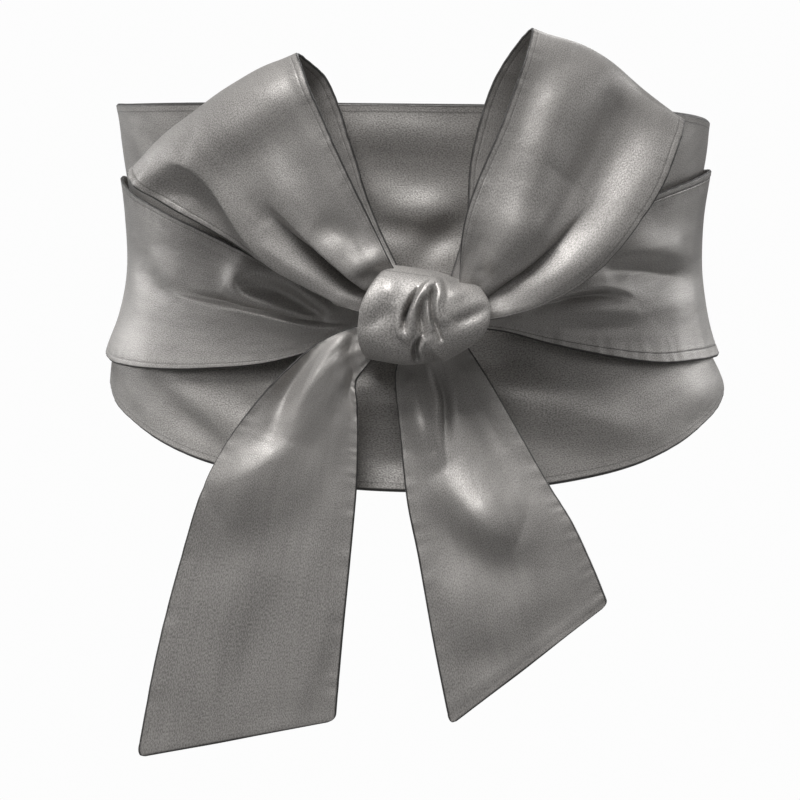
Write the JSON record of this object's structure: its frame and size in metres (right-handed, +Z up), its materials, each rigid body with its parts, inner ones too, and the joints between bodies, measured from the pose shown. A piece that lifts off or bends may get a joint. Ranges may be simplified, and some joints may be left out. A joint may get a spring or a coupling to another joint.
{
  "type": "satin sash",
  "caption": "Wide shaped satin waist sash, worn, its ties crossed behind and brought round to a large bow with two loops and two hanging tails in front.",
  "frame": {"origin": "the middle of the wearer's waist, at the height where the sash is narrowest", "axes": "+Z up along the wearer, the front with its bow towards -Y, +X to the right of someone who looks at the front"},
  "size_m": [0.2811, 0.2606, 0.3048],
  "materials": {
    "satin": "grey satin with a soft sheen"
  },
  "bodies": {
    "root": {"panel": "satin", "wrap_left": "satin", "wrap_right": "satin", "knot": "satin", "loop_left": "satin", "loop_right": "satin", "tail_left": "satin", "tail_right": "satin"}
  },
  "joints": []
}
